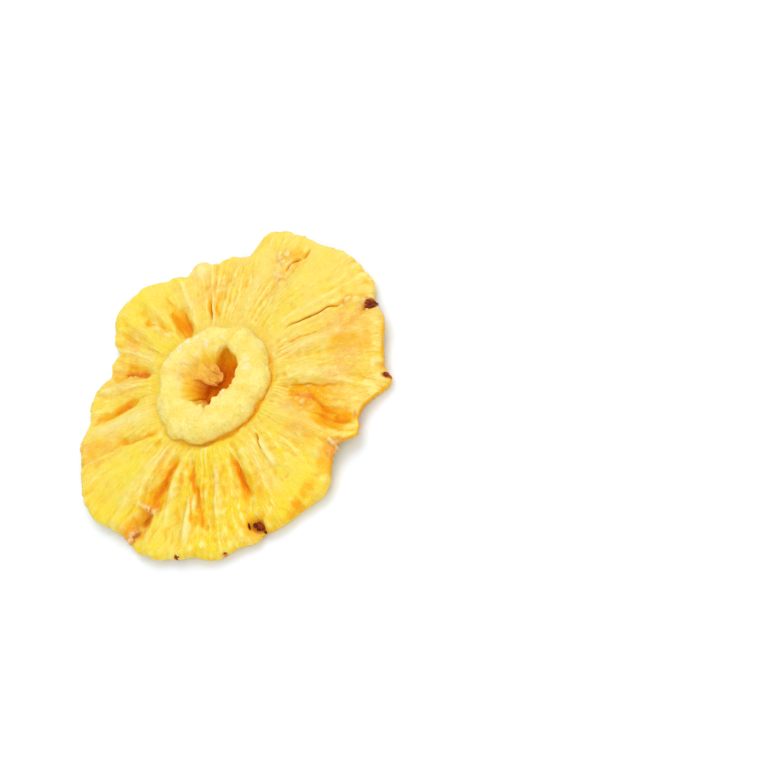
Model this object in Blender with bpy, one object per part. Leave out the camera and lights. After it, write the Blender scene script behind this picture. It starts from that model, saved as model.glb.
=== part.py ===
"""A dried pineapple ring: a slice across the fruit, cored and dried until its lobes shrank and curled.

The ring lies flat on +Z up, with its origin on the surface that it rests on, under the middle of its
outline. It is one solid. Every section through the core's axis is a closed loop of the same stations:
in from the rim over the flesh, over the proud core band, down the hole and back out along the underside.
"""

import math

import bpy

# Lengths below are in millimetres and angles in degrees, counted from +X towards +Y about the core's axis.
MM = 0.001

# The core band, which shrinks less than the flesh and so stands proud of it on both sides.
CORE_AXIS_X = -0.9
CORE_AXIS_Y = 2.4
CORE_HALF_X = 14.8
CORE_HALF_Y = 13.6
CORE_TOP = 8.2
CORE_ROUNDNESS = 2.5
CORE_UNEVEN = 0.35

# The hole that the corer left: a slanting funnel, off the band's middle and narrower where it meets the
# table. Its lip is torn and sharp on the -Y side, and rolls over gently on the +Y side.
MOUTH_X, MOUTH_Y = 0.9, 1.9
MOUTH_HALF_X, MOUTH_HALF_Y = 7.1, 6.8
FOOT_X, FOOT_Y = 0.7, -1.8
FOOT_HALF_X, FOOT_HALF_Y = 4.5, 3.2
MOUTH_LIP = 2.2
MOUTH_LIP_LEAN = 1.2
WALL_SWEEP = 0.85
FOOT_LIP = 1.0

# The flesh, from the crevice round the core out to the rim. Shares run from 0 at the core to 1 at the rim.
THICKNESS_AT_CORE = 4.7
THICKNESS_AT_RIM = 3.1
THINNEST = 0.9
THINNING = 1.2
CROWN = 0.55
CREVICE_DEPTH = 1.1
CREVICE_SHARE = 0.07
UNDERSIDE_AT_CORE = 1.1
UNDERSIDE_SETTLES = 0.7
CURL_SWEEP = 1.6
RIM_ROUND_FROM = 0.91
RIM_EDGE_LEVEL = 0.45

# Unevenness round the ring, as (waves in a full turn, share of the height, phase in radians).
CORE_WAVES = ((3, 0.5, 2.0), (7, 0.3, 1.1), (11, 0.3, 4.0))
CREST_WAVES = ((2, 0.5, 0.6), (5, 0.4, 0.0))
PLEAT_WAVES = ((23, 1.0, 0.0), (13, 0.6, 0.8))
PLEAT_HEIGHT = 0.28
PLEATS_FULL_FROM = 0.2
PUCKER_WAVES = ((9, 1.0, 0.5),)
PUCKER_HEIGHT = 0.25

# Where the rim's lobes and notches lie, as (angle, radius).
RIM = (
    (0, 42.0), (10, 40.7), (20, 39.9), (30, 39.1), (35, 33.6), (44, 34.0), (52, 32.9), (60, 34.4),
    (65, 32.5), (80, 34.4), (88, 35.0), (96, 34.6), (105, 32.2), (111, 28.9), (123, 29.1), (137, 31.8),
    (145, 31.6), (151, 34.0), (160, 35.3), (170, 37.3), (180, 40.2), (193, 38.8), (204, 41.1),
    (220, 40.5), (234, 40.8), (241, 39.8), (252, 38.6), (266, 39.2), (272, 39.9), (279, 37.4),
    (286, 36.4), (292, 38.7), (299, 36.3), (306, 39.3), (312, 42.4), (318, 39.9), (333, 41.3),
    (340, 40.5), (347, 42.3),
)

# How far the underside of the rim has curled up from the table, as (angle, height).
CURL = (
    (0, 1.5), (24, 2.7), (52, 1.0), (86, 2.6), (115, 0.5), (140, 1.3), (172, 2.0), (201, 0.3),
    (222, 0.5), (246, 0.0), (266, 0.6), (289, 1.8), (311, 0.2), (330, 1.3), (345, 0.7),
)

# The valleys between the fruitlets: (angle and radius of the inner end, of the outer end, half width, depth).
VALLEYS = (
    (118, 16, 116, 29, 2.5, 2.1),
    (136, 17, 147, 32, 1.4, 1.3),
    (159, 19, 156, 33, 1.3, 0.6),
    (205, 16, 201, 40, 2.3, 1.8),
    (218, 18, 227, 35, 1.5, 1.2),
    (246, 18, 244, 33, 1.7, 1.1),
    (296, 17, 293, 38, 2.3, 1.8),
    (308, 19, 309, 33, 1.4, 1.1),
    (326, 18, 322, 38, 1.5, 0.6),
    (345, 18, 341, 40, 1.3, 0.8),
    (33, 17, 35, 35, 1.8, 0.8),
    (51, 15, 52, 29, 1.3, 0.9),
    (76, 14, 77, 28, 1.4, 1.2),
    (88, 16, 91, 29, 1.3, 1.0),
)
VALLEY_OPENS = (-0.12, 0.18)
VALLEY_CLOSES = (0.8, 1.12)

# Craters that the cut-out eyes left near the rim: (angle, radius, half length, half width, depth).
EYE_CRATERS = (
    (340, 38.6, 2.6, 1.7, 1.2),
    (248, 37.2, 2.3, 2.0, 1.6),
    (200, 33.5, 3.2, 1.9, 1.5),
    (286, 35.0, 2.2, 1.8, 0.9),
)

# How finely the solid is cut up.
TURNS = 144
RIM_STATIONS = (1.0, 0.985, 0.95)
FLESH_STATIONS = 11
FLESH_CROWDING = 1.15
CORE_STATIONS = 8
WALL_STATIONS = 4
UNDER_CORE_STATIONS = 3
UNDER_FLESH_STATIONS = 7
SHARP_FROM = 60

FLESH_COLOUR = (0.93, 0.66, 0.14, 1.0)
FLESH_ROUGHNESS = 0.5


def round_the_ring(points, angle):
    """A smooth closed curve through (angle, value) points, read at one angle."""
    count = len(points)
    after = next((i for i, (at, _) in enumerate(points) if at > angle), count)
    around = [points[(after + step) % count] for step in (-2, -1, 0, 1)]
    turns = [360 * ((after + step) // count) for step in (-2, -1, 0, 1)]
    at = [point[0] + turn for point, turn in zip(around, turns)]
    value = [point[1] for point in around]
    span = at[2] - at[1]
    along = (angle - at[1]) / span
    slope_in = (value[2] - value[0]) / (at[2] - at[0]) * span
    slope_out = (value[3] - value[1]) / (at[3] - at[1]) * span
    square = along * along
    cube = square * along
    return (
        (2 * cube - 3 * square + 1) * value[1]
        + (cube - 2 * square + along) * slope_in
        + (3 * square - 2 * cube) * value[2]
        + (cube - square) * slope_out
    )


def waves(table, turn):
    """The sum of a table's waves at one turn about the core's axis, in radians."""
    return sum(share * math.sin(count * turn + phase) for count, share, phase in table)


def smooth(low, high, value):
    """0 up to low, 1 from high, and an S curve between them."""
    share = min(max((value - low) / (high - low), 0.0), 1.0)
    return share * share * (3 - 2 * share)


def arc(angle, other, radius):
    """Distance along a circle of this radius from one angle to another."""
    return math.radians((angle - other + 180) % 360 - 180) * radius


def ray_to_oval(angle, centre_x, centre_y, half_x, half_y):
    """Distance from the core's axis, along angle, to an oval that holds the axis."""
    turn = math.radians(angle)
    way_x, way_y = math.cos(turn) / half_x, math.sin(turn) / half_y
    off_x, off_y = centre_x / half_x, centre_y / half_y
    stretch = way_x * way_x + way_y * way_y
    along = way_x * off_x + way_y * off_y
    aside = way_x * off_y - way_y * off_x
    return (along + math.sqrt(stretch - aside * aside)) / stretch


def mouth_edge(angle):
    """Radius of the hole's mouth."""
    return ray_to_oval(angle, MOUTH_X, MOUTH_Y, MOUTH_HALF_X, MOUTH_HALF_Y)


def foot_edge(angle):
    """Radius of the hole where it meets the table."""
    return ray_to_oval(angle, FOOT_X, FOOT_Y, FOOT_HALF_X, FOOT_HALF_Y)


def mouth_height(angle):
    """Height at which the band's rounded lip turns into the wall of the hole."""
    return CORE_TOP - MOUTH_LIP - MOUTH_LIP_LEAN * math.sin(math.radians(angle))


def core_edge(angle):
    """Radius of the crevice between the core band and the flesh."""
    oval = ray_to_oval(angle, 0, 0, CORE_HALF_X, CORE_HALF_Y)
    return oval + CORE_UNEVEN * waves(CORE_WAVES, math.radians(angle))


def hollow_of_valleys(angle, radius):
    """Depth that the valleys between the fruitlets take off the flesh at a point."""
    depth = 0.0
    for angle_in, radius_in, angle_out, radius_out, half_width, deepest in VALLEYS:
        share = (radius - radius_in) / (radius_out - radius_in)
        middle = angle_in + (angle_out - angle_in) * min(max(share, 0.0), 1.0)
        fade = smooth(*VALLEY_OPENS, share) * (1 - smooth(*VALLEY_CLOSES, share))
        depth += deepest * fade * math.exp(-((arc(angle, middle, radius) / half_width) ** 2))
    return depth


def hollow_of_eyes(angle, radius):
    """Depth that the eye craters take off the flesh at a point."""
    depth = 0.0
    for eye_angle, eye_radius, half_length, half_width, deepest in EYE_CRATERS:
        away = math.hypot((radius - eye_radius) / half_length, arc(angle, eye_angle, radius) / half_width)
        depth += deepest * math.exp(-(away**2))
    return depth


def flesh_faces(angle, share):
    """Heights of the flesh's underside and top, at a share of the way from the crevice to the rim."""
    turn = math.radians(angle)
    inner = core_edge(angle)
    radius = inner + share * (round_the_ring(RIM, angle) - inner)
    under = UNDERSIDE_AT_CORE * (1 - smooth(0.0, UNDERSIDE_SETTLES, share))
    under += round_the_ring(CURL, angle) * share**CURL_SWEEP
    under += PUCKER_HEIGHT * share * (1 + waves(PUCKER_WAVES, turn))
    thick = THICKNESS_AT_CORE + (THICKNESS_AT_RIM - THICKNESS_AT_CORE) * share**THINNING
    thick += CROWN * math.sin(math.pi * share)
    thick += PLEAT_HEIGHT * waves(PLEAT_WAVES, turn) * smooth(0.0, PLEATS_FULL_FROM, share)
    thick -= hollow_of_valleys(angle, radius) + hollow_of_eyes(angle, radius)
    thick -= CREVICE_DEPTH * math.exp(-((share / CREVICE_SHARE) ** 2))
    thick = max(thick, THINNEST)
    beyond = max(share - RIM_ROUND_FROM, 0.0) / (1 - RIM_ROUND_FROM)
    rounding = math.sqrt(max(1 - beyond * beyond, 0.0))
    edge = under + RIM_EDGE_LEVEL * thick
    return edge - RIM_EDGE_LEVEL * thick * rounding, edge + (1 - RIM_EDGE_LEVEL) * thick * rounding


def flesh_point(angle, share, on_top):
    """(radius, height) of a station on the flesh."""
    inner = core_edge(angle)
    radius = inner + share * (round_the_ring(RIM, angle) - inner)
    under, top = flesh_faces(angle, share)
    return radius, (top if on_top else under)


def core_band_point(angle, share):
    """(radius, height) on the band's rounded top, from 0 in the crevice to 1 at the lip of the hole."""
    outer = core_edge(angle)
    crest = CORE_TOP + CORE_UNEVEN * waves(CREST_WAVES, math.radians(angle))
    foot = flesh_faces(angle, 0.0)[1] if share < 0.5 else mouth_height(angle)
    across = abs(2 * share - 1)
    height = foot + (crest - foot) * (1 - across**CORE_ROUNDNESS) ** (1 / CORE_ROUNDNESS)
    return outer + share * (mouth_edge(angle) - outer), height


def hole_wall_point(angle, share):
    """(radius, height) on the wall of the hole, from 0 at its mouth to 1 at its foot."""
    mouth = mouth_edge(angle)
    top = mouth_height(angle)
    return mouth + (foot_edge(angle) - mouth) * share**WALL_SWEEP, top + share * (FOOT_LIP - top)


def core_foot_point(angle, share):
    """(radius, height) on the flat foot of the core, from 0 at the hole to 1 at the flesh."""
    inner = foot_edge(angle) + FOOT_LIP
    outer = core_edge(angle) - FOOT_LIP
    return inner + share * (outer - inner), 0.0


def section(angle):
    """The closed loop of (radius, height) stations at one angle, from the rim over the top and back below."""
    loop = [flesh_point(angle, share, True) for share in RIM_STATIONS]
    last = RIM_STATIONS[-1]
    for step in range(FLESH_STATIONS):
        share = last * (1 - (step + 1) / (FLESH_STATIONS + 1)) ** FLESH_CROWDING
        loop.append(flesh_point(angle, share, True))
    loop.append(flesh_point(angle, 0.0, True))
    for step in range(CORE_STATIONS):
        slant = math.pi * (step + 1) / (CORE_STATIONS + 1)
        loop.append(core_band_point(angle, (1 - math.cos(slant)) / 2))
    for step in range(WALL_STATIONS):
        loop.append(hole_wall_point(angle, step / (WALL_STATIONS - 1)))
    for step in range(UNDER_CORE_STATIONS):
        loop.append(core_foot_point(angle, step / (UNDER_CORE_STATIONS - 1)))
    for step in range(UNDER_FLESH_STATIONS):
        loop.append(flesh_point(angle, last * step / (UNDER_FLESH_STATIONS - 1), False))
    loop.append(flesh_point(angle, RIM_STATIONS[1], False))
    return loop


def build_ring(collection):
    """Lays the sections round a torus, whose rings of vertices they become."""
    stations = len(section(0))
    bpy.ops.mesh.primitive_torus_add(
        major_segments=TURNS,
        minor_segments=stations,
        major_radius=(CORE_HALF_X + RIM[0][1]) / 2 * MM,
        minor_radius=CORE_TOP * MM,
    )
    ring = bpy.context.object
    ring.name = ring.data.name = "pineapple_ring"
    for owner in ring.users_collection:
        owner.objects.unlink(ring)
    collection.objects.link(ring)
    for turn in range(TURNS):
        angle = 360 * turn / TURNS
        along_x, along_y = math.cos(math.radians(angle)), math.sin(math.radians(angle))
        for station, (radius, height) in enumerate(section(angle)):
            ring.data.vertices[turn * stations + station].co = (
                (CORE_AXIS_X + radius * along_x) * MM,
                (CORE_AXIS_Y + radius * along_y) * MM,
                max(height, 0.0) * MM,
            )
    ring.data.shade_smooth()
    ring.data.set_sharp_from_angle(angle=math.radians(SHARP_FROM))
    return ring


def flesh_material():
    """Dried fruit: yellow, slightly waxy, not metallic."""
    material = bpy.data.materials.new("dried_flesh")
    material.use_nodes = True
    shader = material.node_tree.nodes["Principled BSDF"]
    shader.inputs["Base Color"].default_value = FLESH_COLOUR
    shader.inputs["Roughness"].default_value = FLESH_ROUGHNESS
    shader.inputs["Metallic"].default_value = 0.0
    return material


def main():
    for leftover in list(bpy.data.objects):
        bpy.data.objects.remove(leftover)
    collection = bpy.data.collections.new("dried_pineapple")
    bpy.context.scene.collection.children.link(collection)
    ring = build_ring(collection)
    ring.data.materials.append(flesh_material())


main()
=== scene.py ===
"""The looks of one dried pineapple ring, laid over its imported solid.

Sizes are in millimetres and angles in degrees, counted from +X towards +Y about the core's axis, which
stands at CORE_AXIS. Every mesh is made in metres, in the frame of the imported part.
"""

import itertools
import math

import bmesh
import bpy
import numpy as np
from mathutils import Matrix, Vector


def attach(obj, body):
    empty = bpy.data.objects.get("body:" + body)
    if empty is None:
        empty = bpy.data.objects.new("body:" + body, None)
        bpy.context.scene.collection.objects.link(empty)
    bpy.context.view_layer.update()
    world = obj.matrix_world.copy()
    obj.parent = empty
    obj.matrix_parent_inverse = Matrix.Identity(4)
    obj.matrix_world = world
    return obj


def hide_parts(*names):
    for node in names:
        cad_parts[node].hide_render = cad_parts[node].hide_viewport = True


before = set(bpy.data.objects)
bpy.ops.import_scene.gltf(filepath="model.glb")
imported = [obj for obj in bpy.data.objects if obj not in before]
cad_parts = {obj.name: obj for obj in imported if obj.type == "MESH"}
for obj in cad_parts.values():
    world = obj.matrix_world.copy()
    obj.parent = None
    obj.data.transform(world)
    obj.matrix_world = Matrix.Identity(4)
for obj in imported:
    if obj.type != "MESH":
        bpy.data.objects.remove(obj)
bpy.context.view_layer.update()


# The core band is the woody middle of the fruit, bored out by a round cutter while it was fresh. It is
# dense, pale and grainy, shrinks less in the drier than the flesh, and so stands proud all round its hole.
MM = 0.001
CORE_AXIS = (-0.9, 2.4)
CORE_HALF_X, CORE_HALF_Y = 14.8, 13.6
CORE_TOP = 8.2
CORE_WAVES = ((3, 0.5, 2.0), (7, 0.3, 1.1), (11, 0.3, 4.0))
CORE_UNEVEN = 0.35
CORE_DENT_AT, CORE_DENT, CORE_DENT_HALF_TURN = 146, 1.1, 22
CREST_WAVES = ((2, 0.5, 0.6), (5, 0.4, 0.0))
SCALLOPS, SCALLOP_DEPTH = 34, 0.55
BAND_OUTER_ROUND, BAND_FAR_SOFTER = 2.6, 0.7
CREVICE_LEVEL, CREVICE_LEVEL_FAR = 3.6, 5.0

# The hole slants: its mouth and foot are two ovals off the axis. The lip is torn on the -Y side.
MOUTH_X, MOUTH_Y, MOUTH_HALF_X, MOUTH_HALF_Y = 0.9, 1.9, 7.1, 6.8
FOOT_X, FOOT_Y, FOOT_HALF_X, FOOT_HALF_Y = 0.7, -1.8, 4.5, 3.2
MOUTH_LIP, MOUTH_LIP_LEAN, FOOT_LIP, WALL_SWEEP = 2.2, 1.2, 1.0, 0.85
LIP_SHARPEST, LIP_SHARP_ROUND, LIP_SOFT_ROUND, SOFT_THROAT = 285, 3.2, 1.7, 0.15
LIP_TEETH = ((34, 0.28), (85, 0.22))
# Bites out of the lip, and teeth left on it, as (angle, depth, half width).
LIP_BITES = (
    (234, 1.3, 0.7), (224, 2.4, 0.55), (206, 0.6, 1.0), (291, 0.6, 1.0), (316, 0.8, 1.4), (335, 0.5, 1.2),
    (354, 0.7, 1.5), (245, -0.3, 0.6), (258, 0.3, 0.5), (272, -0.3, 0.6),
)
# Where the core is torn into pale crumbs, and where sugar whitens it: (angle, radius, half length, half
# width, share).
CORE_TORN = (
    (90, 5.6, 2.4, 3.0, 0.8), (118, 7.4, 1.4, 1.6, 0.9), (100, 8.4, 1.0, 1.2, 0.7),
    (269.6, 5.6, 0.7, 0.7, 1.0), (226, 8.2, 0.9, 1.6, 0.7),
)
CORE_SUGARY = (
    (331.5, 9.4, 1.2, 1.5, 2.0), (269.6, 5.9, 0.8, 1.0, 1.6), (52.7, 9.6, 0.8, 1.2, 0.9),
    (28.7, 9.8, 0.7, 1.0, 0.8), (84.6, 11.0, 1.4, 1.4, 0.9), (110.7, 11.9, 1.0, 1.8, 0.8),
    (70, 12.0, 1.2, 2.4, 0.6), (206, 12.6, 1.2, 1.4, 0.6), (100, 12.2, 1.0, 2.0, 0.5),
)
STREAKS_IN_WALL, STREAK_DEPTH, STREAK_LENGTH = 66, 0.26, 5
WALL_FOLDS, WALL_FOLD_DEPTH, WALL_FOLD_LENGTH = 15, 0.6, 4
# Lumps in the core's skin, as (seed, height, size).
CORE_LUMPS = ((32, 0.30, 3.2), (33, 0.18, 1.2), (34, 0.12, 0.55))
CORE_CRUMB_SIZE, CORE_CRUMB_HEIGHT, CORE_CRUMB_SINK, TORN_ABOVE = 0.8, 0.5, 0.1, 2.5
# Sugar bloom comes in patches and clumps; painted light whitens it more on the band's far side.
BLOOM_PATCH, BLOOM_CLUMP, FAR_SIDE_PAINTED_LIGHT = 3.5, 0.75, 0.6
LIP_SHARP_FROM, LIP_SHARP_FULL, HOLE_BELOW_CREST, FAR_TEETH = 0.26, 0.42, 0.5, 0.25
# Painted shade in the crevice, in orange: how strong it is, and its reach as a share of the way to the band's
# crest or the rim.
CREVICE_SHADE, CREVICE_REACH = 0.8, 0.03
# From where to where these set in: the wall, by depth and by height, and what stands clear of the table.
WALL_BY_DEPTH, WALL_BY_HEIGHT, CLEAR_OF_TABLE = (0.15, 0.45), (0.3, 1.2), (0.2, 1.0)

CORE_TURNS = 900
BAND_STATIONS, WALL_STATIONS, FOOT_STATIONS = 64, 22, 8
SKIRT_SHARES = (0.25, 0.5, 0.75)


def smooth(low, high, value):
    """0 up to low, 1 from high, and an S curve between them."""
    share = np.clip((value - low) / (high - low), 0.0, 1.0)
    return share * share * (3 - 2 * share)


def waves(table, angle):
    """The sum of a table's waves, each as (waves in a full turn, share, phase)."""
    return sum(share * np.sin(count * np.radians(angle) + phase) for count, share, phase in table)


def ripple(seed, *axes, wraps=None):
    """Smooth noise between -1 and 1, a lump to each unit of each axis. The first axis may close on itself."""
    size = 4096
    shuffled = np.random.default_rng(seed).permutation(size)
    lows = [np.floor(axis).astype(int) for axis in axes]
    blends = [smooth(0, 1, axis - low) for axis, low in zip(axes, lows)]
    total = 0.0
    for corner in itertools.product((0, 1), repeat=len(axes)):
        key, weight = 0, 1.0
        for low, blend, side in zip(lows, blends, corner):
            step = low + side
            if wraps and low is lows[0]:
                step = step % wraps
            key = shuffled[(key + step) % size]
            weight = weight * (blend if side else 1 - blend)
        total = total + weight * key
    return 2 * total / (size - 1) - 1


def round_ripple(seed, lumps, angle, *axes):
    """Noise that goes once round the ring in this number of lumps."""
    return ripple(seed, angle % 360 * (lumps / 360), *axes, wraps=lumps)


def lumpy(seed, size, x, y, z):
    """Noise in lumps of one size."""
    return ripple(seed, x / size, y / size, z / size)


def arc(angle, other, radius):
    """Distance along a circle of this radius from one angle to another."""
    return np.radians((angle - other + 180) % 360 - 180) * radius


def near_side(angle):
    """1 on the -Y side of the ring, 0 on the far side."""
    return 0.5 - 0.5 * np.sin(np.radians(angle))


def teeth(seed, lumps, height, angle):
    """Teeth along an edge, lower on the far side."""
    return height * (FAR_TEETH + (1 - FAR_TEETH) * near_side(angle)) * round_ripple(seed, lumps, angle)


def spots(table, angle, radius, blunt=2):
    """The sum of a table's spots at each point."""
    total = 0.0
    for spot_angle, spot_radius, half_length, half_width, height in table:
        away = np.hypot((radius - spot_radius) / half_length, arc(angle, spot_angle, radius) / half_width)
        total = total + height * np.exp(-(away**blunt))
    return total


def ray_to_oval(angle, centre_x, centre_y, half_x, half_y):
    """Distance from the core's axis, along angle, to an oval that holds the axis."""
    way_x, way_y = np.cos(np.radians(angle)) / half_x, np.sin(np.radians(angle)) / half_y
    off_x, off_y = centre_x / half_x, centre_y / half_y
    stretch = way_x**2 + way_y**2
    along = way_x * off_x + way_y * off_y
    aside = way_x * off_y - way_y * off_x
    return (along + np.sqrt(stretch - aside**2)) / stretch


def core_edge(angle):
    """Radius of the crevice between the core band and the flesh."""
    dent = CORE_DENT * np.exp(-((arc(angle, CORE_DENT_AT, 1) / math.radians(CORE_DENT_HALF_TURN)) ** 2))
    return ray_to_oval(angle, 0, 0, CORE_HALF_X, CORE_HALF_Y) + CORE_UNEVEN * waves(CORE_WAVES, angle) - dent


def torn_mouth(angle):
    """Radius of the hole's mouth, with its bites and teeth."""
    mouth = ray_to_oval(angle, MOUTH_X, MOUTH_Y, MOUTH_HALF_X, MOUTH_HALF_Y)
    for seed, (lumps, height) in enumerate(LIP_TEETH):
        mouth = mouth + teeth(seed, lumps, height, angle)
    for bite_angle, depth, half_width in LIP_BITES:
        mouth = mouth + depth * np.exp(-((arc(angle, bite_angle, mouth) / half_width) ** 2))
    return mouth


def on_axis(angle, radius, height):
    """Points in millimetres from (angle, radius, height) about the core's axis."""
    turn = np.radians(angle)
    x = CORE_AXIS[0] + radius * np.cos(turn)
    y = CORE_AXIS[1] + radius * np.sin(turn)
    return np.stack(np.broadcast_arrays(x, y, height), axis=-1)


def faces_out(grid):
    """Unit normals of a grid that closes on itself both ways."""
    round_way = np.roll(grid, -1, axis=0) - np.roll(grid, 1, axis=0)
    along_way = np.roll(grid, -1, axis=1) - np.roll(grid, 1, axis=1)
    normal = np.cross(round_way, along_way)
    return normal / np.maximum(np.linalg.norm(normal, axis=-1, keepdims=True), 1e-9)


def meshed(name, points, faces, masks):
    """A smooth mesh of points in millimetres, with each mask as an attribute of its points."""
    mesh = bpy.data.meshes.new(name)
    mesh.from_pydata((points * MM).tolist(), [], faces)
    for mask, values in masks.items():
        layer = mesh.attributes.new(mask, "FLOAT", "POINT")
        layer.data.foreach_set("value", values.ravel().astype(np.float32))
    mesh.shade_smooth()
    piece = bpy.data.objects.new(name, mesh)
    bpy.context.scene.collection.objects.link(piece)
    return piece


def closed_ring(name, grid, masks):
    """A mesh of a grid that closes on itself both ways."""
    number = np.arange(grid.shape[0] * grid.shape[1]).reshape(grid.shape[:2])
    beside, ahead = np.roll(number, -1, axis=0), np.roll(number, -1, axis=1)
    faces = np.stack((number, beside, np.roll(beside, -1, axis=1), ahead), axis=-1).reshape(-1, 4)
    masks = {mask: np.broadcast_to(values, number.shape) for mask, values in masks.items()}
    return meshed(name, grid.reshape(-1, 3), faces.tolist(), masks)


core_angle = np.arange(CORE_TURNS)[:, None] * 360 / CORE_TURNS
nearness = near_side(core_angle)
outer = core_edge(core_angle) + teeth(5, SCALLOPS, SCALLOP_DEPTH, core_angle)
mouth = torn_mouth(core_angle)
foot = ray_to_oval(core_angle, FOOT_X, FOOT_Y, FOOT_HALF_X, FOOT_HALF_Y)
mouth_height = CORE_TOP - MOUTH_LIP - MOUTH_LIP_LEAN * np.sin(np.radians(core_angle))
crevice_level = CREVICE_LEVEL_FAR + (CREVICE_LEVEL - CREVICE_LEVEL_FAR) * nearness

crest = CORE_TOP + CORE_UNEVEN * waves(CREST_WAVES, core_angle)
crest_radius = (outer + mouth) / 2
sharp = smooth(LIP_SHARP_FROM, LIP_SHARP_FULL, 0.5 + 0.5 * np.cos(np.radians(core_angle - LIP_SHARPEST)))
held = SOFT_THROAT + (1 - SOFT_THROAT) * sharp
throat = foot + (mouth - foot) * held
throat_height = FOOT_LIP + (mouth_height - FOOT_LIP) * held

half = BAND_STATIONS // 2
rise = (1 - np.cos(np.pi * np.arange(half)[None, :] / half)) / 2
outer_round = BAND_OUTER_ROUND - BAND_FAR_SOFTER * (1 - nearness)
outer_height = crevice_level + (crest - crevice_level) * (1 - (1 - rise) ** outer_round) ** (1 / outer_round)
outer_band = on_axis(core_angle, outer + rise * (crest_radius - outer), outer_height)
inner_round = LIP_SOFT_ROUND + (LIP_SHARP_ROUND - LIP_SOFT_ROUND) * sharp
inner_height = throat_height + (crest - throat_height) * (1 - rise**inner_round) ** (1 / inner_round)
inner_band = on_axis(core_angle, crest_radius + rise * (throat - crest_radius), inner_height)

wall_share = np.arange(WALL_STATIONS)[None, :] / WALL_STATIONS
wall_height = throat_height + wall_share * (FOOT_LIP - throat_height)
wall = on_axis(core_angle, throat + (foot - throat) * wall_share**WALL_SWEEP, wall_height)

floor_share = np.arange(FOOT_STATIONS)[None, :] / (FOOT_STATIONS - 1)
inner_foot, outer_foot = foot + FOOT_LIP, outer - FOOT_LIP
flat_foot = on_axis(core_angle, inner_foot + floor_share * (outer_foot - inner_foot), 0.0)

skirt_share = np.array(SKIRT_SHARES)[None, :]
skirt = on_axis(core_angle, outer - FOOT_LIP * (1 - skirt_share) ** 2, crevice_level * skirt_share)

core_grid = np.concatenate((outer_band, inner_band, wall, flat_foot, skirt), axis=1)
x, y, z = np.moveaxis(core_grid, -1, 0)
station = np.arange(core_grid.shape[1])[None, :]
inside = (station >= half) & (station < BAND_STATIONS + WALL_STATIONS)
hole_from = crest - HOLE_BELOW_CREST
# How far down the hole each point is: it sets the painted shade down the hole, and where the wall's streaks
# and folds are.
down_hole = np.where(inside, np.clip((hole_from - z) / (hole_from - FOOT_LIP), 0.0, 1.0), 0.0)
in_wall = smooth(*WALL_BY_DEPTH, down_hole) * smooth(*WALL_BY_HEIGHT, z)
above_table = smooth(*CLEAR_OF_TABLE, z)
streaks = round_ripple(31, STREAKS_IN_WALL, core_angle, z / STREAK_LENGTH)
wall_folds = round_ripple(35, WALL_FOLDS, core_angle, z / WALL_FOLD_LENGTH)
core_relief = above_table * sum(tall * lumpy(seed, size, x, y, z) for seed, tall, size in CORE_LUMPS)
core_relief += in_wall * (STREAK_DEPTH * streaks + WALL_FOLD_DEPTH * wall_folds)
out = np.hypot(x - CORE_AXIS[0], y - CORE_AXIS[1])
above = (z > TORN_ABOVE) & (station < BAND_STATIONS + WALL_STATIONS)
core_torn = np.clip(spots(CORE_TORN, core_angle, out), 0, 1) * above
core_crumbs = smooth(0.0, 0.6, lumpy(37, CORE_CRUMB_SIZE, x, y, z))
core_relief += core_torn * (CORE_CRUMB_HEIGHT * core_crumbs - CORE_CRUMB_SINK)
core_grid = core_grid + faces_out(core_grid) * core_relief[..., None]
core_grid[..., 2] = np.maximum(core_grid[..., 2], 0.0)

# Painted shade in the crevice at the band's foot, stronger on the near side; the skirt under the flesh has it
# in full.
crevice_shade = np.zeros(core_grid.shape[:2])
crevice_shade[:, :half] = np.exp(-((rise / CREVICE_REACH) ** 2)) * (0.15 + 0.85 * smooth(0.35, 0.8, nearness))
crevice_shade[:, -len(SKIRT_SHARES) :] = CREVICE_SHADE
# Whitish sugar bloom in patches, and painted light on the far side.
core_bloom = lumpy(36, BLOOM_PATCH, x, y, z) + FAR_SIDE_PAINTED_LIGHT * (1 - nearness)
core_bloom = 0.5 * smooth(0.1, 0.9, core_bloom) + spots(CORE_SUGARY, core_angle, out)
core_bloom = np.clip(core_bloom * smooth(-0.2, 0.5, lumpy(38, BLOOM_CLUMP, x, y, z)), 0, 1)
# Torn places are pale with crumbs; the crests of the wall's folds are paler too, as painted light.
pale_torn_and_lit_folds = 0.3 * smooth(0.2, 0.8, wall_folds) * in_wall + core_torn * (0.35 + 0.5 * core_crumbs)
core_band = closed_ring(
    "core_band",
    core_grid,
    {
        "down_hole": down_hole,
        "wall_streaks": streaks,
        "torn": np.clip(pale_torn_and_lit_folds, 0, 1),
        "crevice_shade": crevice_shade,
        "bloom": core_bloom * (1 - smooth(0.1, 0.4, down_hole)) * above_table,
    },
)


def fill(node, wires):
    """Fills a node's sockets, by name or number, each with a value or another node's output."""
    for socket, source in wires.items():
        if isinstance(source, bpy.types.NodeSocket):
            node.id_data.links.new(source, node.inputs[socket])
        else:
            node.inputs[socket].default_value = source


def put(tree, kind, wires=(), **settings):
    """Adds a node with these settings, and fills its sockets."""
    made = tree.nodes.new(kind)
    for setting, value in settings.items():
        setattr(made, setting, value)
    fill(made, dict(wires))
    return made


def paint(red, green, blue):
    """A colour read off a colour card, as 0 to 255 for a screen, made linear."""
    card = [channel / 255 for channel in (red, green, blue)]
    return [c / 12.92 if c <= 0.04045 else ((c + 0.055) / 1.055) ** 2.4 for c in card] + [1.0]


def reckon(tree, operation, first, second=0.0, third=0.0):
    """Simple sums on values."""
    return put(tree, "ShaderNodeMath", {0: first, 1: second, 2: third}, operation=operation).outputs[0]


def weighed(tree, *parts):
    """The sum of some values, each as (value, weight)."""
    total = 0.0
    for value, weight in parts:
        total = reckon(tree, "MULTIPLY_ADD", value, weight, total)
    return total


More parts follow.
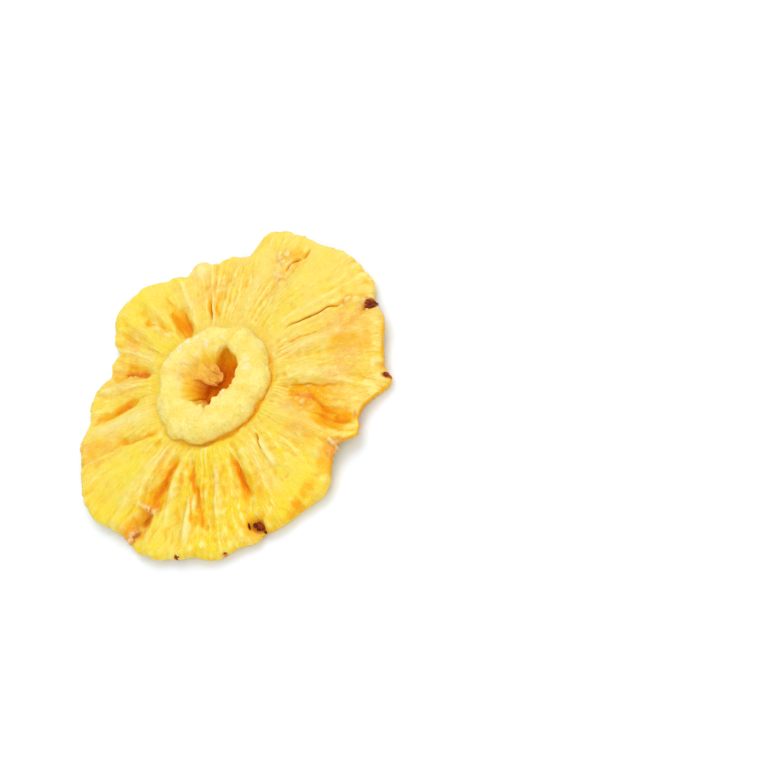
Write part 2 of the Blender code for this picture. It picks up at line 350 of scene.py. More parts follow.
def vector(tree, operation, wires):
    """Simple sums on vectors."""
    return put(tree, "ShaderNodeVectorMath", wires, operation=operation).outputs[0]


def between(tree, value, low, high, start=0.0, end=1.0):
    """A value spread from low and high to start and end, and held there."""
    wires = {"Value": value, "From Min": low, "From Max": high, "To Min": start, "To Max": end}
    return put(tree, "ShaderNodeMapRange", wires, interpolation_type="SMOOTHSTEP").outputs["Result"]


def coats(tree, card, *layers):
    """Coats over a colour, one after another: (share, colour), or (value, low, high, most, colour)."""
    colour = paint(*card)
    for *share, over in layers:
        share = between(tree, *share[:3], 0.0, share[3]) if len(share) > 1 else share[0]
        wires = {0: share, 6: colour, 7: paint(*over)}
        colour = put(tree, "ShaderNodeMix", wires, data_type="RGBA").outputs[2]
    return colour


def noise(tree, place, scale, detail, roughness=0.5, distortion=0.0):
    """Cloudy noise at a place."""
    wires = {"Vector": place, "Scale": scale, "Detail": detail, "Roughness": roughness}
    return put(tree, "ShaderNodeTexNoise", {**wires, "Distortion": distortion}).outputs["Fac"]


def mask_of(tree, name):
    """One of the masks that the mesh carries."""
    return put(tree, "ShaderNodeAttribute", attribute_name=name).outputs["Fac"]


def bumped(tree, relief, height):
    """The shading of a fine relief of some height in millimetres."""
    wires = {"Height": relief, "Distance": height * MM, "Strength": 0.9}
    return put(tree, "ShaderNodeBump", wires).outputs["Normal"]


def effect(name, takes, gives):
    """An empty node group with number inputs and outputs, and its two ends."""
    tree = bpy.data.node_groups.new(name, "ShaderNodeTree")
    for socket, value in takes.items():
        tree.interface.new_socket(socket, in_out="INPUT", socket_type="NodeSocketFloat").default_value = value
    for socket in gives:
        tree.interface.new_socket(socket, in_out="OUTPUT", socket_type="NodeSocketFloat")
    return tree, put(tree, "NodeGroupInput"), put(tree, "NodeGroupOutput")


def dried_grain():
    """Grain of dried fruit: soft cells, finer crumbs between them, and large uneven patches."""
    takes = {"Cells per mm": 1.0, "Patch mm": 6.0}
    tree, inlet, outlet = effect("dried_grain", takes, ("Cells", "Crumbs", "Patches"))
    place = put(tree, "ShaderNodeTexCoord").outputs["Object"]
    per_metre = reckon(tree, "DIVIDE", inlet.outputs["Cells per mm"], MM)
    finer = reckon(tree, "MULTIPLY", per_metre, 2.7)
    patch = reckon(tree, "DIVIDE", 1 / MM, inlet.outputs["Patch mm"])
    cells = put(tree, "ShaderNodeTexVoronoi", {"Vector": place, "Scale": per_metre}, feature="SMOOTH_F1")
    gives = {
        "Cells": reckon(tree, "SUBTRACT", 1.0, cells.outputs["Distance"]),
        "Crumbs": noise(tree, place, finer, 3.0, 0.6),
        "Patches": noise(tree, place, patch, 3.0, 0.55),
    }
    fill(outlet, gives)
    return tree


def radial_fibres():
    """Fibres that run out from the core's axis, so many to a turn, each of some length."""
    takes = {"Fibres in a turn": 300.0, "Fibre mm": 8.0}
    tree, inlet, outlet = effect("radial_fibres", takes, ("Fibres", "Hairs"))
    place = put(tree, "ShaderNodeTexCoord").outputs["Object"]
    to_axis = {"Vector": place, "Location": (-CORE_AXIS[0] * MM, -CORE_AXIS[1] * MM, 0.0)}
    centred = put(tree, "ShaderNodeMapping", to_axis).outputs["Vector"]
    flat = vector(tree, "MULTIPLY", {0: centred, 1: (1.0, 1.0, 0.0)})
    radius = put(tree, "ShaderNodeVectorMath", {0: flat}, operation="LENGTH").outputs["Value"]
    spread = reckon(tree, "DIVIDE", inlet.outputs["Fibres in a turn"], math.tau)
    turned = vector(tree, "SCALE", {0: vector(tree, "NORMALIZE", {0: flat}), "Scale": spread})
    length = reckon(tree, "MULTIPLY", inlet.outputs["Fibre mm"], MM)
    lift = put(tree, "ShaderNodeCombineXYZ", {"Z": reckon(tree, "DIVIDE", radius, length)}).outputs[0]
    along = vector(tree, "ADD", {0: turned, 1: lift})
    gives = {
        "Fibres": noise(tree, along, 1.0, 2.0, distortion=0.4),
        "Hairs": noise(tree, along, 2.6, 2.0, distortion=0.6),
    }
    fill(outlet, gives)
    return tree


GRAIN = dried_grain()
FIBRES = radial_fibres()


def grain_of(tree, cells_per_mm, patch_mm):
    """The cells, crumbs and patches of the dried grain, at these sizes."""
    sizes = {"Cells per mm": cells_per_mm, "Patch mm": patch_mm}
    return put(tree, "ShaderNodeGroup", sizes, node_tree=GRAIN).outputs


def new_finish(name):
    """A bare finish, with its tree and its shader."""
    material = bpy.data.materials.new(name)
    material.use_nodes = True
    return material, material.node_tree, material.node_tree.nodes["Principled BSDF"]


def core_finish(name, see_through):
    """Pale, matt and grainy; golden down the hole and deep orange at its foot, as painted shade."""
    material, tree, shader = new_finish(name)
    cells, crumbs, patches = grain_of(tree, 1.3, 4.0)
    down = weighed(tree, (mask_of(tree, "down_hole"), 1.0), (mask_of(tree, "wall_streaks"), 0.10))
    colour = coats(
        tree,
        (253, 226, 112),
        (patches, 0.35, 0.65, 1.0, (255, 236, 142)),
        (crumbs, 0.54, 0.72, 0.5, (250, 214, 88)),
        (cells, 0.75, 0.90, 0.4, (255, 242, 176)),
        # Sugar bloom, whiter on the far side as painted light.
        (mask_of(tree, "bloom"), 0.2, 1.0, 0.7, (255, 240, 206)),
        # Painted shade down the hole: golden, then orange, then deep orange at its foot.
        (down, 0.0, 0.20, 1.0, (250, 200, 46)),
        (down, 0.16, 0.48, 1.0, (247, 166, 8)),
        (down, 0.45, 0.80, 1.0, (244, 132, 0)),
        (crumbs, 0.50, 0.70, 0.2, (226, 96, 0)),
        # Pale torn places, and painted light on the crests of the hole wall's folds.
        (mask_of(tree, "torn"), (252, 202, 112)),
        # Painted shade: orange in the crevice.
        (mask_of(tree, "crevice_shade"), (244, 164, 10)),
    )
    looks = {
        "Base Color": colour,
        "Roughness": between(tree, patches, 0.3, 0.7, 0.5, 0.68),
        "Normal": bumped(tree, weighed(tree, (cells, 0.8), (crumbs, 1.0)), 0.3),
        "Subsurface Weight": see_through,
        "Subsurface Radius": (1.0, 0.55, 0.12),
        "Subsurface Scale": 1.6 * MM,
        "Specular IOR Level": 0.18,
        "IOR": 1.4,
    }
    fill(shader, looks)
    return material


core_band.data.materials.append(core_finish("core_band_finish", 0.3))
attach(core_band, "root")
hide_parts("pineapple_ring")


# The flesh is a slice of many fruitlets grown together, cut across and dried until they shrank towards the
# core. It is chewy, waxy and a little translucent, with fibres that run out to a lobed, curled and torn rim.
RIM = (
    (0, 42.0), (10, 40.4), (20, 39.4), (30, 38.6), (35, 33.3), (44, 33.6), (52, 32.5), (60, 33.9), (65, 32.2),
    (80, 34.1), (88, 34.7), (96, 34.3), (105, 31.9), (111, 28.5), (123, 28.6), (137, 31.3), (145, 31.0),
    (151, 33.4), (160, 34.7), (170, 36.8), (180, 39.7), (193, 38.3), (204, 40.6), (220, 40.1), (234, 40.6),
    (241, 39.6), (252, 38.4), (266, 39.1), (272, 39.9), (279, 37.4), (286, 36.4), (292, 38.7), (299, 37.2),
    (306, 39.3), (312, 42.4), (318, 39.9), (333, 41.3), (340, 40.5), (347, 42.3),
)
CURL = (
    (0, 1.5), (24, 2.7), (52, 1.0), (86, 2.6), (115, 0.5), (140, 1.3), (172, 2.0), (201, 0.3), (222, 0.5),
    (246, 0.0), (266, 0.6), (289, 1.8), (311, 0.2), (330, 1.3), (345, 0.7),
)
THICKNESS_AT_CORE, THICKNESS_AT_RIM, THINNEST, THINNING, CROWN = 4.7, 3.1, 0.9, 1.2, 0.55
CREVICE_DEPTH, CREVICE_SHARE, CREVICE_FAR = 1.1, 0.07, 0.35
UNDERSIDE_AT_CORE, UNDERSIDE_SETTLES, CURL_SWEEP = 1.1, 0.7, 1.6
RIM_ROUND_FROM, RIM_EDGE_LEVEL = 0.91, 0.45
PLEAT_WAVES, PLEAT_HEIGHT, PLEATS_FULL_FROM = ((23, 1.0, 0.0), (13, 0.6, 0.8)), 0.28, 0.2
PUCKER_WAVES, PUCKER_HEIGHT = ((9, 1.0, 0.5),), 0.25
RIM_NICKS = ((38, 0.34), (84, 0.26), (190, 0.12))

# Lines on the flesh: (angle and radius of the inner end, of the outer end, half width, height or strength).
VALLEYS = (
    (118, 16, 120, 26, 2.3, -2.0), (142, 17, 146, 30, 1.4, -1.2), (176, 16, 163, 25, 1.0, -0.9),
    (163, 24, 160, 36, 1.5, -0.6), (203.5, 16, 200.5, 40, 2.9, -1.9), (217, 18, 224, 26, 0.9, -0.9),
    (224, 25, 227, 36, 1.6, -1.2), (247.5, 18, 248, 33, 1.5, -1.1), (305, 17, 297, 30, 2.0, -1.4),
    (297, 29, 295, 38, 2.2, -1.4), (309, 18, 308, 31, 1.0, -0.5), (326, 18, 322, 38, 1.5, -0.5),
    (347.5, 20, 342, 38, 0.9, -0.4), (33, 17, 35, 35, 1.8, -0.7), (52, 15, 54, 24, 1.2, -0.5),
    (46, 16, 48, 26, 0.9, -0.5), (75, 14, 74, 23, 1.2, -1.3), (84, 18, 90, 26, 1.1, -1.0),
    (90, 25, 89, 31, 1.4, -0.6), (76, 22, 78, 29, 0.8, -0.6), (280, 22, 283, 33, 1.2, -0.4),
    (102, 20, 102, 29, 1.5, -0.5),
)
SLITS = (
    (350, 19.5, 344.4, 36.0, 0.22, -0.85), (341.3, 19.0, 336.0, 27.5, 0.24, -0.45),
    (267, 17.6, 263.8, 23.5, 0.24, -0.8), (309, 17.9, 308.4, 32.0, 0.22, -0.45),
    (51.8, 15.8, 54.5, 23.2, 0.22, -0.7), (15.2, 30.3, 14.7, 32.9, 0.26, -0.7),
    (14.7, 32.6, 12.2, 34.8, 0.3, -0.9), (12.2, 34.6, 11.3, 37.8, 0.26, -0.7),
    (220.5, 26.5, 222, 33, 0.22, -0.5), (142, 18, 146, 28, 0.8, -0.45), (176, 16, 164, 25, 0.5, -0.25),
    (75, 15, 74, 22, 0.6, -0.4), (119, 17, 120, 24, 0.8, -0.45), (303, 24, 296.5, 31, 0.4, -0.4),
    (296.5, 31, 295.5, 36, 0.3, -0.45), (203, 18, 200.5, 31, 0.5, -0.5), (247, 20, 248.3, 31, 0.4, -0.6),
)
RIDGES = (
    (221.5, 26.5, 220.3, 37.5, 0.8, 0.8), (87, 17.5, 90, 25, 0.8, 0.8), (266.7, 20.0, 265, 28, 0.8, 0.9),
    (236, 20, 234, 33, 1.0, 0.45), (258, 19, 260, 34, 1.6, 0.4), (290, 19, 289, 33, 1.6, 0.4),
    (194, 17, 190, 34, 2.2, 0.5), (209, 17, 211, 34, 1.1, 0.3), (129, 17, 132, 28, 1.2, 0.45),
    (109, 17, 106, 28, 1.4, 0.5), (355, 20, 351, 34, 0.8, 0.3), (26, 18, 27, 34, 1.5, 0.3),
    (156, 15, 151, 31, 1.8, 0.7), (49.5, 15, 51.5, 24, 0.6, 0.5), (64, 16, 66, 29, 1.4, 0.4),
    (316, 18, 313, 34, 1.6, 0.4), (334, 18, 331, 36, 1.4, 0.4),
)
# Amber streaks, most along the valleys: the fruit's own amber, and painted shade down the valleys.
AMBER_LINES = (
    (75, 14.5, 74, 23, 0.9, 0.75), (84, 18, 90, 26, 1.0, 0.55), (90, 25, 89, 30, 1.2, 0.3),
    (76, 22, 78, 29, 0.6, 0.35), (120, 17, 120, 25, 1.8, 1.0), (102.5, 23, 102, 29, 1.8, 0.35),
    (142, 18, 146.5, 29, 1.1, 0.7), (163, 24, 160, 35, 2.6, 0.3), (176, 16, 163, 25, 0.6, 0.4),
    (203.5, 18, 201, 33, 3.0, 0.78), (200.5, 32, 199.5, 40, 2.2, 0.75), (217.2, 19, 224, 26, 0.8, 1.0),
    (224, 25, 227, 34.5, 1.4, 1.0), (246.5, 19.5, 248.4, 31, 1.0, 0.85), (253, 26, 255, 34, 2.2, 0.3),
    (238, 22, 238, 29, 0.6, 0.35), (304, 20, 297, 30, 2.2, 0.9), (297, 29, 294.5, 35, 2.0, 0.65),
    (285, 22, 284, 31, 2.4, 0.3), (214, 29, 213.5, 38.5, 0.9, 0.4), (217.5, 28, 217, 38, 0.6, 0.35),
    (307, 26, 306, 33, 1.4, 0.45), (332, 28, 326, 40, 3.2, 0.35), (51.8, 15.8, 54.8, 26, 0.4, 0.35),
    (45.5, 17.5, 48.5, 25.5, 0.55, 0.4), (15, 33, 13, 37, 1.4, 0.4),
)
# Where juice dried along the rim: (angle, radius, half length, half width, strength).
AMBER_SPOTS = (
    (271, 37.4, 1.3, 5.5, 0.5), (262, 38.0, 0.9, 2.5, 0.6), (279, 35.6, 1.0, 2.0, 0.5),
    (244.5, 36.2, 1.2, 0.8, 0.5), (299, 34.5, 2.0, 2.4, 0.4), (306, 24.5, 2.0, 1.6, 0.5),
    (247.4, 37.4, 2.1, 2.4, 0.9), (293, 29, 4.0, 2.5, 0.4),
)

# Craters where eyes were cut out, and bumps, near the rim: (angle, radius, half length, half width, height).
CRATERS = (
    (340, 39.2, 2.4, 1.7, -1.2), (247.6, 37.5, 2.2, 2.0, -1.5), (200.4, 34.6, 3.7, 1.9, -1.5),
    (284, 36.2, 2.2, 1.9, -0.9),
)
BUMPS = (
    (57, 30.6, 2.4, 2.3, 1.1), (146, 28.2, 0.8, 0.8, 0.6), (200.8, 31.0, 0.6, 1.8, 1.3),
    (198, 37.4, 1.4, 0.6, 0.6), (307.8, 24.2, 0.5, 0.5, 0.4), (18.4, 33, 1.4, 1.0, 0.4),
    (345.2, 35.4, 1.0, 0.8, 0.4), (337.7, 37.7, 1.2, 0.9, 0.4),
)
# Where the flesh is torn into crumbs, which are paler: (angle, radius, half length, half width, strength).
TORN = (
    (200.8, 31.1, 0.9, 2.1, 1.4), (198, 37.6, 2.6, 1.2, 1.2), (203.5, 36, 2.0, 0.8, 0.5),
    (283.5, 36, 2.6, 2.6, 1.3), (345.2, 35.4, 1.6, 1.1, 0.9), (342.6, 39, 1.4, 1.2, 0.8),
    (337.7, 37.7, 1.7, 1.3, 0.9), (18.4, 33, 2.6, 1.8, 0.7), (16.2, 28.7, 1.2, 1.6, 0.7),
    (12.2, 32.2, 1.6, 1.0, 0.6), (146, 28.3, 0.9, 0.9, 0.8), (316, 40, 1.6, 1.2, 0.6),
    (264.5, 31.5, 0.5, 1.2, 0.6), (121, 21, 2.4, 1.4, 0.5), (298, 23.5, 2.4, 1.8, 0.6),
    (307.8, 24.2, 0.5, 0.5, 0.8), (213.5, 24, 3.2, 0.9, 0.4), (235.5, 24, 3.2, 0.5, 0.5),
    (194.5, 39.6, 1.0, 2.2, 0.6), (244, 38.6, 1.0, 1.6, 0.5),
)
# Browned eyes and their rims, and a few fold tips near the rim in painted shade: (angle, radius, half length,
# half width, strength).
BROWNED = (
    (340, 39.4, 2.0, 1.4, 1.0), (246.9, 37.2, 1.6, 1.9, 0.75), (244.3, 36.6, 0.9, 0.35, 0.5),
    (200.6, 33.4, 2.0, 1.2, 0.55), (199.2, 37.2, 1.4, 0.6, 0.4), (287.5, 36.0, 0.7, 1.3, 0.35),
    (313, 41.4, 1.3, 0.8, 0.85), (217.6, 40.2, 0.4, 0.4, 1.0), (234, 40.5, 0.4, 1.0, 0.5),
    (120, 22.8, 1.6, 0.9, 0.35), (117, 18.5, 1.2, 0.8, 0.25), (299, 27.3, 1.6, 0.9, 0.3),
    (298, 36.2, 0.7, 1.3, 0.35), (12.5, 29.5, 0.4, 0.4, 0.4),
)
# How yellow the flesh is round the ring, as (angle, share), from a peachy pale to a saturated lemon.
YELLOWNESS = (
    (0, 0.15), (30, 0.25), (60, 0.4), (80, 0.7), (100, 0.65), (125, 0.45), (150, 0.45), (170, 0.65),
    (185, 0.85), (212, 0.75), (232, 0.88), (258, 0.74), (280, 0.48), (300, 0.35), (325, 0.2), (345, 0.15),
)
# Where the flesh is browned in fine specks: (angle, radius, half length, half width, strength).
BLUSHES = (
    (333.6, 34.2, 5, 3.5, 0.9), (321.7, 33.4, 4, 3.5, 0.8), (315.5, 30.8, 4, 3, 0.6), (305, 30, 5, 3, 0.5),
    (296, 22.2, 3, 2.5, 0.7), (285, 26.2, 4, 3, 0.7), (162, 30, 6, 3.5, 0.8), (120, 23, 5, 5, 0.6),
    (178, 35, 4, 4, 0.3), (15, 32, 6, 4, 0.5), (57, 24.2, 2.5, 2, 0.6), (48, 22, 4, 1.2, 0.4),
    (199, 37, 4, 3, 0.7), (102, 26, 3, 2.5, 0.6), (340, 30, 8, 2.5, 0.5), (258, 30, 5, 3, 0.3),
)
# Where the flesh dried smooth and waxy: (angle, radius, half length, half width, share).
SMOOTH_PLACES = (
    (181, 28, 8, 6, 1.0), (286, 22, 6, 4, 1.0), (267, 34, 5, 4, 0.8), (7, 35, 6, 6, 1.0), (86, 31, 4, 5, 0.7),
    (212, 31, 6, 2.5, 0.6), (150, 26, 8, 3, 0.7), (352, 26, 6, 3, 0.6), (24, 27, 8, 3, 0.5),
)
# Noise round the flesh, as (seed, lumps in a turn, length of each outwards).
WANDER_WIDE, WANDER_FINE, PATCHES_ROUND = (51, 16, 8), (52, 48, 4), (53, 22, 6)
FIBRES_ROUND, THREADS_ROUND, WRINKLES_ROUND = (54, 150, 9), (55, 330, 6), (60, 92, 9)
LOBES_ROUND, FOLDS_ROUND, CALM_ROUND = (56, 15, 9), (57, 46, 7), (64, 9, 12)
BEND_ROUND, STRAY_ROUND, JUICE_ROUND = (65, 70, 2.2), (61, 60, 2.5), (62, 230, 8)
# How far fibres wander, slits bend, and amber and torn places stray sideways, in degrees.
WANDER, WANDER_FINELY, BEND, STRAY, TORN_STRAYS = 2.2, 0.6, 0.9, 2.6, 1.2
# Heights of the relief, what each loses where the flesh is calm, and the share that the fibres lose there.
LOBE_HEIGHT, FOLD_HEIGHT, WRINKLE_HEIGHT, CRUMPLE_HEIGHT, PEBBLE_HEIGHT = 0.55, 0.38, 0.28, 0.24, 0.12
FOLD_CALMED, WRINKLE_CALMED, CRUMPLE_CALMED, PEBBLE_CALMED, FIBRE_CALMED = 0.16, 0.22, 0.14, 0.07, 0.7
FIBRE_HEIGHT, THREAD_HEIGHT, FIBRE_MIDDLE = 0.28, 0.16, 0.62
TORN_CRUMPLE, TORN_CRUMBS, TORN_SINK, HOLLOW_DEPTH = 0.25, 0.80, 0.18, 0.55
CRUMPLE_SIZE, PEBBLE_SIZE, CRUMB_SIZE, BLOT_SIZE = 1.7, 0.8, 0.85, 2.0
# How far torn places and amber fray outwards with each crumple, in millimetres.
TORN_FRAYS, AMBER_FRAYS = 0.5, 1.2
# What makes up the amber: all over, in streaks of juice, in blots, and painted shade in hollows; what torn
# places lose of it; and the painted shade that slits, gaps among crumbs and the underside have.
AMBER_OVERALL, AMBER_JUICE, AMBER_BLOTS, HOLLOW_SHADE, AMBER_TORN_OFF = 0.28, 0.85, 0.3, 0.3, 0.8
SLIT_SHADE, SHADE_AMONG_CRUMBS, UNDERSIDE_SHADE = 0.75, 0.65, 0.15
# Painted shade in slits, painted highlight on ridges, the pale of bumps, and how much lobes and folds yellow
# the flesh.
SLIT_SHADE_BROWN, RIDGE_HIGHLIGHT, PALE_BUMPS, YELLOW_LOBES, YELLOW_FOLDS = 0.55, 0.8, 0.6, 0.22, 0.15
# Painted shade, amber, along the near rim's edge: (angle, radius, half length, strength), on top of a little
# all along it.
RIM_SHADES = ((300, 38, 10, 0.6), (327, 40, 5, 0.5))
RIM_SHADE = 0.25
FLESH_TURNS = 1150
TOP_SHARES = np.concatenate(([1.0, 0.997, 0.99, 0.978, 0.96, 0.94], np.linspace(0.925, -0.06, 68)))
UNDER_SHARES = np.concatenate((np.linspace(-0.06, 0.9, 9), [0.95, 0.98, 0.994]))


def round_the_ring(points, angle):
    """A smooth closed curve through (angle, value) points."""
    at, value = np.array(points, dtype=float).T
    at = np.concatenate((at[-2:] - 360, at, at[:3] + 360))
    value = np.concatenate((value[-2:], value, value[:3]))
    i = np.searchsorted(at, angle, side="right") - 1
    span = at[i + 1] - at[i]
    along = (angle - at[i]) / span
    slope_in = (value[i + 1] - value[i - 1]) / (at[i + 1] - at[i - 1]) * span
    slope_out = (value[i + 2] - value[i]) / (at[i + 2] - at[i]) * span
    square, cube = along**2, along**3
    start = (2 * cube - 3 * square + 1) * value[i] + (cube - 2 * square + along) * slope_in
    return start + (3 * square - 2 * cube) * value[i + 1] + (cube - square) * slope_out


def lines(table, angle, radius, opens=(-0.12, 0.18), closes=(0.8, 1.12), blunt=2):
    """The sum of a table's lines at each point: rounded across, and faded at both ends."""
    total = 0.0
    for angle_in, radius_in, angle_out, radius_out, half_width, height in table:
        share = (radius - radius_in) / (radius_out - radius_in)
        middle = angle_in + (angle_out - angle_in) * np.clip(share, 0.0, 1.0)
        fade = smooth(*opens, share) * (1 - smooth(*closes, share))
        total = total + height * fade * np.exp(-np.abs(arc(angle, middle, radius) / half_width) ** blunt)
    return total


def outward(noise_round, angle, radius):
    """Noise round the ring that is drawn out from the core."""
    seed, lumps, length = noise_round
    return round_ripple(seed, lumps, angle, radius / length)


def softened(field, turns, stations):
    """A field averaged over so many neighbours round the ring and across it."""
    for axis, reach in ((0, turns), (1, stations)):
        field = sum(np.roll(field, step, axis=axis) for step in range(-reach, reach + 1)) / (2 * reach + 1)
    return field


flesh_angle = np.arange(FLESH_TURNS)[:, None] * 360 / FLESH_TURNS
share = np.concatenate((TOP_SHARES, UNDER_SHARES))[None, :]
on_top = (np.arange(share.size) < TOP_SHARES.size)[None, :]
within = np.maximum(share, 0.0)
inner = core_edge(flesh_angle)
nicks = sum(depth * round_ripple(40 + lumps, lumps, flesh_angle) for lumps, depth in RIM_NICKS)
rim = round_the_ring(RIM, flesh_angle) + nicks * smooth(0.6, 1.0, share)
radius = inner + share * (rim - inner)

under = UNDERSIDE_AT_CORE * (1 - smooth(0.0, UNDERSIDE_SETTLES, share))
under = under + round_the_ring(CURL, flesh_angle) * within**CURL_SWEEP
under = under + PUCKER_HEIGHT * within * (1 + waves(PUCKER_WAVES, flesh_angle))
thick = THICKNESS_AT_CORE + (THICKNESS_AT_RIM - THICKNESS_AT_CORE) * within**THINNING
thick = thick + CROWN * np.sin(np.pi * within)
thick = thick + PLEAT_HEIGHT * waves(PLEAT_WAVES, flesh_angle) * smooth(0.0, PLEATS_FULL_FROM, share)
crevice = np.exp(-((share / CREVICE_SHARE) ** 2)) * (CREVICE_FAR + (1 - CREVICE_FAR) * near_side(flesh_angle))
valley = lines(VALLEYS, flesh_angle, radius)
thick = thick + valley + spots(CRATERS, flesh_angle, radius, 3) - CREVICE_DEPTH * crevice
thick = np.maximum(thick, THINNEST)
beyond = np.maximum(share - RIM_ROUND_FROM, 0.0) / (1 - RIM_ROUND_FROM)
rounding = np.sqrt(np.maximum(1 - beyond**2, 0.0))
edge = under + RIM_EDGE_LEVEL * thick
height = RIM_EDGE_LEVEL * thick * rounding
height = edge + np.where(on_top, (1 - RIM_EDGE_LEVEL) * thick * rounding, -height)
flesh_grid = on_axis(flesh_angle, radius, height)

# Fibres wander a little from side to side on their way out.
x, y, z = np.moveaxis(flesh_grid, -1, 0)
wander = WANDER * outward(WANDER_WIDE, flesh_angle, radius)
wander += WANDER_FINELY * outward(WANDER_FINE, flesh_angle, radius)
fibre_angle = (flesh_angle + wander) % 360
patchy = 0.45 + 0.55 * smooth(-0.5, 0.6, outward(PATCHES_ROUND, flesh_angle, radius))
fibres = np.sqrt(np.abs(outward(FIBRES_ROUND, fibre_angle, radius))) - FIBRE_MIDDLE
threads = np.sqrt(np.abs(outward(THREADS_ROUND, fibre_angle, radius))) - FIBRE_MIDDLE
lobes = outward(LOBES_ROUND, flesh_angle, radius)
folds = outward(FOLDS_ROUND, fibre_angle, radius)
wrinkles = 1 - 2 * np.abs(outward(WRINKLES_ROUND, fibre_angle, radius))
crumpled = lumpy(58, CRUMPLE_SIZE, x, y, z)
pebbled = lumpy(59, PEBBLE_SIZE, x, y, z)
calm = 0.4 * smooth(-0.3, 0.5, outward(CALM_ROUND, flesh_angle, radius))
calm = np.clip(calm + spots(SMOOTH_PLACES, flesh_angle, radius), 0, 1)
frayed = radius + TORN_FRAYS * crumpled
torn = np.clip(spots(TORN, flesh_angle + TORN_STRAYS * crumpled, frayed), 0, 1) * on_top
crumbs = smooth(0.0, 0.65, lumpy(66, CRUMB_SIZE, x, y, z))
bent = flesh_angle + BEND * outward(BEND_ROUND, flesh_angle, radius)
slits = lines(SLITS, bent, radius, (-0.02, 0.25), (0.7, 1.02), 1.5)
ridges = lines(RIDGES, flesh_angle, radius)
bumps = spots(BUMPS, flesh_angle, radius)
flesh_relief = smooth(0.0, 0.12, share) * (
    LOBE_HEIGHT * lobes
    + (FOLD_HEIGHT - FOLD_CALMED * calm) * folds
    + (WRINKLE_HEIGHT - WRINKLE_CALMED * calm) * wrinkles
    + (1 - FIBRE_CALMED * calm) * patchy * (FIBRE_HEIGHT * fibres + THREAD_HEIGHT * threads)
)
flesh_relief += (CRUMPLE_HEIGHT - CRUMPLE_CALMED * calm) * crumpled
flesh_relief += (PEBBLE_HEIGHT - PEBBLE_CALMED * calm) * pebbled
flesh_relief += torn * (TORN_CRUMPLE * crumpled + TORN_CRUMBS * crumbs - TORN_SINK)
flesh_relief += np.where(on_top, slits + ridges + bumps, 0.0)
flesh_grid = flesh_grid + faces_out(flesh_grid) * flesh_relief[..., None]
flesh_grid[..., 2] = np.maximum(flesh_grid[..., 2], 0.0)

# How hollow the relief lies against its neighbours, for painted shade in hollows and painted light on crests.
cavity_shading = np.clip(0.5 - (flesh_relief - softened(flesh_relief, 7, 3)) / HOLLOW_DEPTH, 0, 1)
strayed = (flesh_angle + STRAY * outward(STRAY_ROUND, flesh_angle, radius)) % 360
amber_share = lines(AMBER_LINES, strayed, radius + AMBER_FRAYS * crumpled) + spots(AMBER_SPOTS, strayed, frayed)
juice = 0.5 + 0.5 * outward(JUICE_ROUND, fibre_angle, radius)
blots = 0.5 + 0.5 * lumpy(63, BLOT_SIZE, x, y, z)
# The fruit's own amber, less where torn, with painted shade in hollows, slits and gaps among crumbs and on
# the underside.
amber = AMBER_OVERALL + AMBER_JUICE * juice + AMBER_BLOTS * blots + HOLLOW_SHADE * (cavity_shading - 0.5)
amber = amber_share * amber * (1 - AMBER_TORN_OFF * torn)
amber = amber - SLIT_SHADE * slits + SHADE_AMONG_CRUMBS * torn * (1 - crumbs)
amber = np.where(on_top, amber, UNDERSIDE_SHADE)
# Painted shade in the crevice at the flesh's inner edge, on the near side.
amber += CREVICE_SHADE * np.exp(-((share / CREVICE_REACH) ** 2)) * near_side(flesh_angle) ** 2
rim_shade = RIM_SHADE + sum(
    strength * np.exp(-((arc(flesh_angle, at, out) / half_length) ** 2))
    for at, out, half_length, strength in RIM_SHADES
)
# Painted shade on the rim's edge, on the near side.
amber += rim_shade * smooth(0.975, 1.0, share) * near_side(flesh_angle)
brown = spots(BROWNED, flesh_angle, radius, 3) * (0.9 + 0.4 * crumpled)
# Painted shade in the slits, in brown.
brown += SLIT_SHADE_BROWN * smooth(0.25, 0.8, -slits)
# Painted highlight on the ridges, and the pale of bumps.
pale = RIDGE_HIGHLIGHT * np.clip(ridges, 0, 1) + PALE_BUMPS * bumps
yellow = round_the_ring(YELLOWNESS, flesh_angle) + YELLOW_LOBES * lobes + YELLOW_FOLDS * folds
flesh = closed_ring(
    "flesh",
    flesh_grid,
    {
        "amber": np.clip(amber, 0, 1.2),
        "brown": np.clip(brown, 0, 1),
        "pale": np.clip(pale - 0.5 * amber, 0, 1),
        "torn": torn,
        "crumbs": torn * (0.15 + 0.85 * crumbs),
        "hairy": patchy * smooth(0.1, 0.3, share) * (1 - smooth(0.72, 0.85, share)) * on_top,
        "yellow": np.clip(yellow, 0, 1),
        "cavity_shading": cavity_shading,
        "calm": calm,
        "blush": np.clip(spots(BLUSHES, strayed, radius), 0, 1) * on_top,
        "bloom": np.clip(0.3 + 0.6 * torn + 0.3 * smooth(0.2, 0.5, lobes) - 0.6 * amber, 0, 1) * on_top,
    },
)


